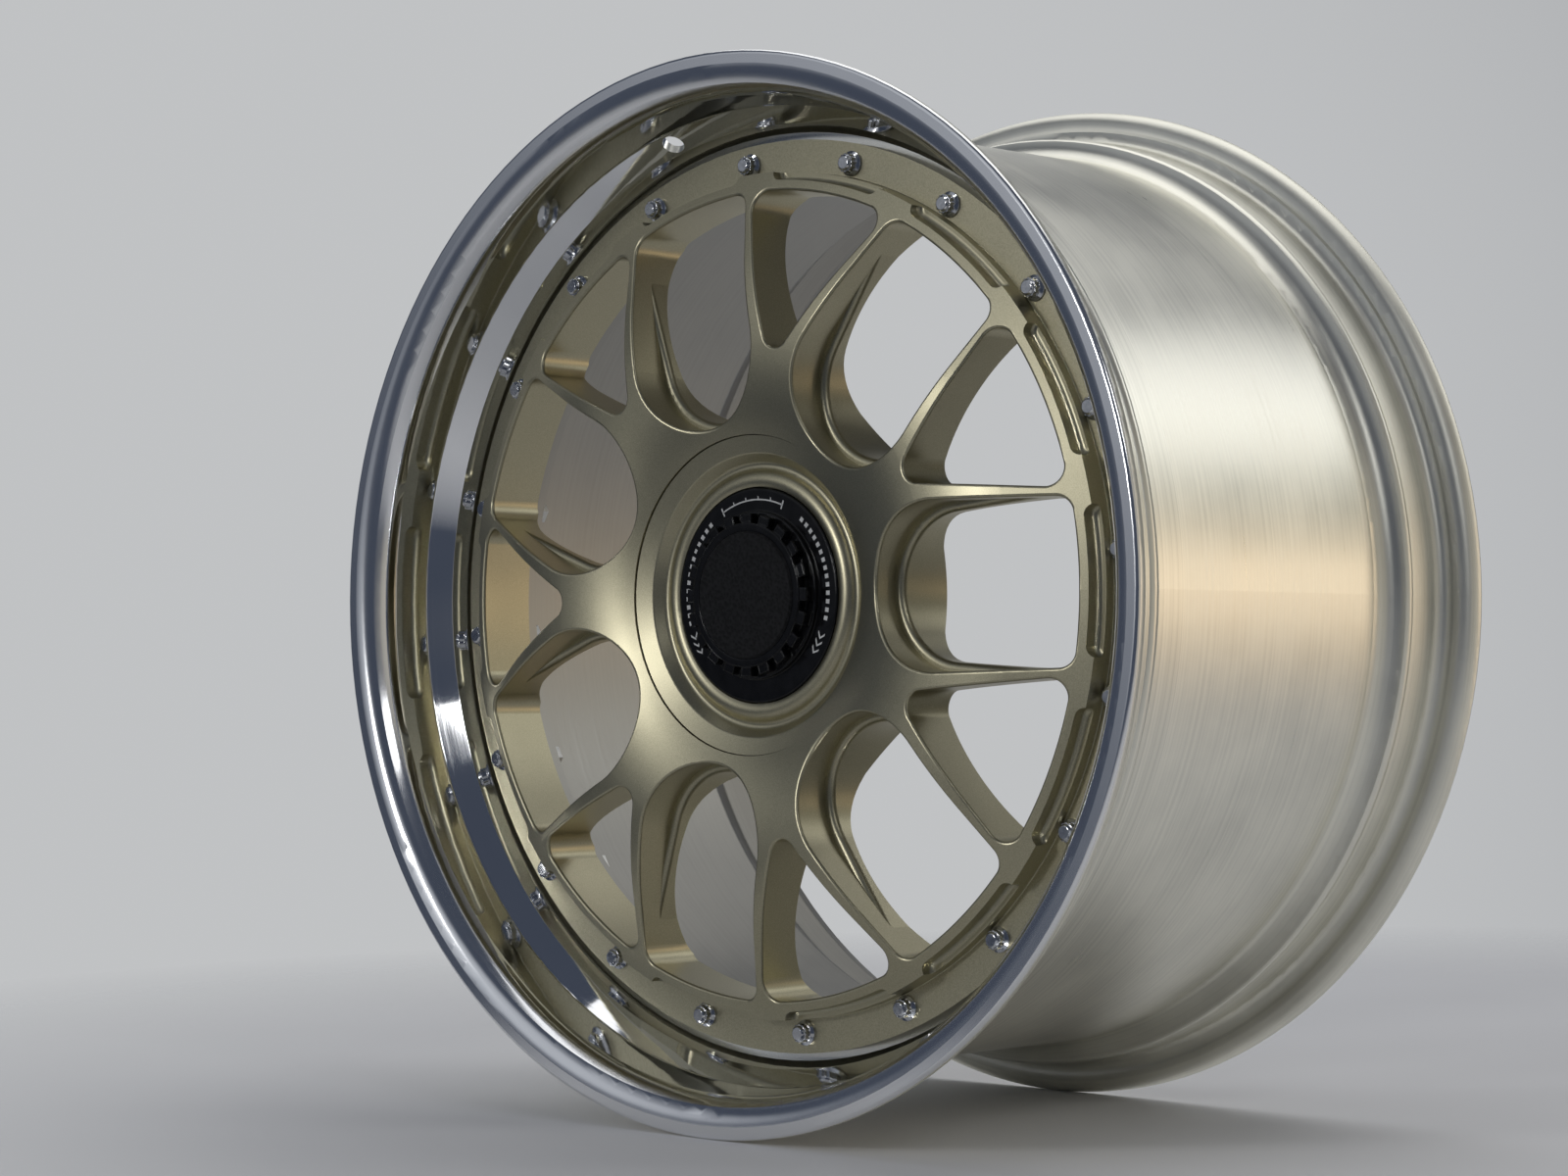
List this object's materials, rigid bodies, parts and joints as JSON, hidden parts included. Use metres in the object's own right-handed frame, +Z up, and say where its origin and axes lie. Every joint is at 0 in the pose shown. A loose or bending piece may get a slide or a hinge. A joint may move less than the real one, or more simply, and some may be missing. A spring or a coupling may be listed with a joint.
{
  "type": "split rim wheel",
  "caption": "Split rim car wheel: polished deep lip and turned barrel bolted round a Y-spoke centre that a single centre-lock nut holds on the hub.",
  "frame": {"origin": "the wheel's middle: on the spin axis, half way between the two rim edges", "axes": "spins about Y, the face looks to -Y and the open back to +Y, +Z up"},
  "size_m": [0.5224, 0.2772, 0.5224],
  "materials": {
    "polished_aluminium": "mirror polished",
    "turned_aluminium": "fine turned, satin",
    "gold_satin": "satin champagne gold coat",
    "bright_steel": "bright plated",
    "zinc_steel": "plated",
    "seal_rubber": "matt",
    "black_anodised": "gloss black anodised",
    "black_plastic": "fine textured"
  },
  "bodies": {
    "root": {"outer_rim_half": "polished_aluminium", "inner_rim_half": "turned_aluminium", "wheel_centre": "gold_satin", "hub_seat_ring": "gold_satin", "rim_bolts": "bright_steel", "rim_nuts": "zinc_steel", "rim_seal": "seal_rubber", "centre_lock_nut": "black_anodised", "nut_cap": "black_plastic"}
  },
  "joints": []
}
